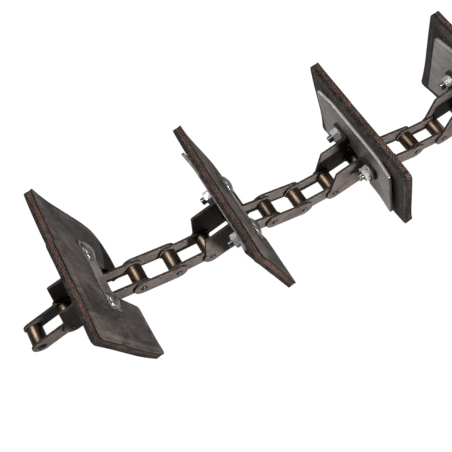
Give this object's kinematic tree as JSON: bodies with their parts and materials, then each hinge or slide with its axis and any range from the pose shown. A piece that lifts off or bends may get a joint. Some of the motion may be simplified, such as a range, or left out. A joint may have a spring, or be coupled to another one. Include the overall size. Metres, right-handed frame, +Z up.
{
  "type": "conveyor chain",
  "caption": "Run of agricultural roller chain with rubber flights: riveted links, free-turning rollers and bent attachment plates that carry a steel-backed rubber pad.",
  "frame": {"origin": "centre of the free bush at the tail end of the chain", "axes": "+X along the chain from tail to head, in the plane it rests on; +Y along the pins; +Z up, the way the flights stand"},
  "size_m": [0.5763, 0.153, 0.1303],
  "materials": {
    "chain_plate": "blackened and oiled steel, dull, with paler worn edges",
    "roller": "bronze-brown tempered steel, burnished",
    "pin": "dark riveted pin ends with a struck flat",
    "backing_steel": "hot-rolled mill scale with bright sheared edges",
    "strip_steel": "plain cold-rolled strip, slightly dull",
    "rubber": "fabric-reinforced belting, scuffed black covers, brown plies at the cut edges",
    "zinc": "bright zinc plating"
  },
  "bodies": {
    "link_00": {"inner_link_00": "chain_plate"},
    "link_01": {"attachment_plates_01": "chain_plate", "backing_plate_01": "backing_steel", "bolts_01": "zinc", "clamp_strip_01": "strip_steel", "nuts_01": "zinc", "pins_01": "pin", "rubber_pad_01": "rubber"},
    "link_02": {"inner_link_02": "chain_plate"},
    "link_03": {"outer_plates_03": "chain_plate", "pins_03": "pin"},
    "link_04": {"inner_link_04": "chain_plate"},
    "link_05": {"attachment_plates_05": "chain_plate", "backing_plate_05": "backing_steel", "bolts_05": "zinc", "clamp_strip_05": "strip_steel", "nuts_05": "zinc", "pins_05": "pin", "rubber_pad_05": "rubber"},
    "link_06": {"inner_link_06": "chain_plate"},
    "link_07": {"outer_plates_07": "chain_plate", "pins_07": "pin"},
    "link_08": {"inner_link_08": "chain_plate"},
    "link_09": {"attachment_plates_09": "chain_plate", "backing_plate_09": "backing_steel", "bolts_09": "zinc", "clamp_strip_09": "strip_steel", "nuts_09": "zinc", "pins_09": "pin", "rubber_pad_09": "rubber"},
    "link_10": {"inner_link_10": "chain_plate"},
    "link_11": {"outer_plates_11": "chain_plate", "pins_11": "pin"},
    "link_12": {"inner_link_12": "chain_plate"},
    "link_13": {"attachment_plates_13": "chain_plate", "backing_plate_13": "backing_steel", "bolts_13": "zinc", "clamp_strip_13": "strip_steel", "nuts_13": "zinc", "pins_13": "pin", "rubber_pad_13": "rubber"},
    "link_14": {"inner_link_14": "chain_plate"},
    "roller_00": {"roller_00": "roller"},
    "roller_01": {"roller_01": "roller"},
    "roller_02": {"roller_02": "roller"},
    "roller_03": {"roller_03": "roller"},
    "roller_04": {"roller_04": "roller"},
    "roller_05": {"roller_05": "roller"},
    "roller_06": {"roller_06": "roller"},
    "roller_07": {"roller_07": "roller"},
    "roller_08": {"roller_08": "roller"},
    "roller_09": {"roller_09": "roller"},
    "roller_10": {"roller_10": "roller"},
    "roller_11": {"roller_11": "roller"},
    "roller_12": {"roller_12": "roller"},
    "roller_13": {"roller_13": "roller"},
    "roller_14": {"roller_14": "roller"},
    "roller_15": {"roller_15": "roller"}
  },
  "joints": [
    {"name": "hinge_01", "type": "hinge", "parent": "link_01", "child": "link_00", "pos_m": [0.03508, 0, 0.01562], "axis": [0, -1, 0], "range_deg": [-29.7, 55.3]},
    {"name": "hinge_02", "type": "hinge", "parent": "link_02", "child": "link_01", "pos_m": [0.07132, 0, 0.02831], "axis": [0, 1, 0], "range_deg": [-31.7, 53.3]},
    {"name": "hinge_03", "type": "hinge", "parent": "link_03", "child": "link_02", "pos_m": [0.10925, 0, 0.0223], "axis": [0, -1, 0], "range_deg": [-24.9, 60.1]},
    {"name": "hinge_04", "type": "hinge", "parent": "link_04", "child": "link_03", "pos_m": [0.14719, 0, 0.01636], "axis": [0, 1, 0], "range_deg": [-67.4, 17.6]},
    {"name": "hinge_05", "type": "hinge", "parent": "link_05", "child": "link_04", "pos_m": [0.18557, 0, 0.01536], "axis": [0, -1, 0], "range_deg": [-0.8, 84.2]},
    {"name": "hinge_06", "type": "hinge", "parent": "link_06", "child": "link_05", "pos_m": [0.221, 0, 0.03018], "axis": [0, 1, 0], "range_deg": [-25.9, 59.1]},
    {"name": "hinge_07", "type": "hinge", "parent": "link_07", "child": "link_06", "pos_m": [0.25864, 0, 0.02259], "axis": [0, -1, 0], "range_deg": [-24, 61]},
    {"name": "hinge_08", "type": "hinge", "parent": "link_07", "child": "link_08", "pos_m": [0.29641, 0, 0.01565], "axis": [0, -1, 0], "range_deg": [-74.9, 10.1]},
    {"name": "hinge_09", "type": "hinge", "parent": "link_08", "child": "link_09", "pos_m": [0.33469, 0, 0.01867], "axis": [0, 1, 0], "range_deg": [-10.2, 74.8]},
    {"name": "hinge_10", "type": "hinge", "parent": "link_09", "child": "link_10", "pos_m": [0.37093, 0, 0.03136], "axis": [0, -1, 0], "range_deg": [-27.4, 57.6]},
    {"name": "hinge_11", "type": "hinge", "parent": "link_10", "child": "link_11", "pos_m": [0.4083, 0, 0.02252], "axis": [0, 1, 0], "range_deg": [-19, 66]},
    {"name": "hinge_12", "type": "hinge", "parent": "link_11", "child": "link_12", "pos_m": [0.44639, 0, 0.01765], "axis": [0, -1, 0], "range_deg": [-66.9, 18.1]},
    {"name": "hinge_13", "type": "hinge", "parent": "link_12", "child": "link_13", "pos_m": [0.48479, 0, 0.01738], "axis": [0, 1, 0], "range_deg": [-7.3, 77.7]},
    {"name": "hinge_14", "type": "hinge", "parent": "link_13", "child": "link_14", "pos_m": [0.52146, 0, 0.0288], "axis": [0, -1, 0], "range_deg": [-21.7, 63.3]},
    {"name": "roller_spin_00", "type": "hinge", "parent": "link_00", "child": "roller_00", "pos_m": [0, 0, 0], "axis": [0, 1, 0], "continuous": true},
    {"name": "roller_spin_01", "type": "hinge", "parent": "link_00", "child": "roller_01", "pos_m": [0.03508, 0, 0.01562], "axis": [0, 1, 0], "continuous": true},
    {"name": "roller_spin_02", "type": "hinge", "parent": "link_02", "child": "roller_02", "pos_m": [0.07132, 0, 0.02831], "axis": [0, 1, 0], "continuous": true},
    {"name": "roller_spin_03", "type": "hinge", "parent": "link_02", "child": "roller_03", "pos_m": [0.10925, 0, 0.0223], "axis": [0, 1, 0], "continuous": true},
    {"name": "roller_spin_04", "type": "hinge", "parent": "link_04", "child": "roller_04", "pos_m": [0.14719, 0, 0.01636], "axis": [0, 1, 0], "continuous": true},
    {"name": "roller_spin_05", "type": "hinge", "parent": "link_04", "child": "roller_05", "pos_m": [0.18557, 0, 0.01536], "axis": [0, 1, 0], "continuous": true},
    {"name": "roller_spin_06", "type": "hinge", "parent": "link_06", "child": "roller_06", "pos_m": [0.221, 0, 0.03018], "axis": [0, 1, 0], "continuous": true},
    {"name": "roller_spin_07", "type": "hinge", "parent": "link_06", "child": "roller_07", "pos_m": [0.25864, 0, 0.02259], "axis": [0, 1, 0], "continuous": true},
    {"name": "roller_spin_08", "type": "hinge", "parent": "link_08", "child": "roller_08", "pos_m": [0.29641, 0, 0.01565], "axis": [0, 1, 0], "continuous": true},
    {"name": "roller_spin_09", "type": "hinge", "parent": "link_08", "child": "roller_09", "pos_m": [0.33469, 0, 0.01867], "axis": [0, 1, 0], "continuous": true},
    {"name": "roller_spin_10", "type": "hinge", "parent": "link_10", "child": "roller_10", "pos_m": [0.37093, 0, 0.03136], "axis": [0, 1, 0], "continuous": true},
    {"name": "roller_spin_11", "type": "hinge", "parent": "link_10", "child": "roller_11", "pos_m": [0.4083, 0, 0.02252], "axis": [0, 1, 0], "continuous": true},
    {"name": "roller_spin_12", "type": "hinge", "parent": "link_12", "child": "roller_12", "pos_m": [0.44639, 0, 0.01765], "axis": [0, 1, 0], "continuous": true},
    {"name": "roller_spin_13", "type": "hinge", "parent": "link_12", "child": "roller_13", "pos_m": [0.48479, 0, 0.01738], "axis": [0, 1, 0], "continuous": true},
    {"name": "roller_spin_14", "type": "hinge", "parent": "link_14", "child": "roller_14", "pos_m": [0.52146, 0, 0.0288], "axis": [0, 1, 0], "continuous": true},
    {"name": "roller_spin_15", "type": "hinge", "parent": "link_14", "child": "roller_15", "pos_m": [0.55731, 0, 0.01503], "axis": [0, 1, 0], "continuous": true}
  ]
}
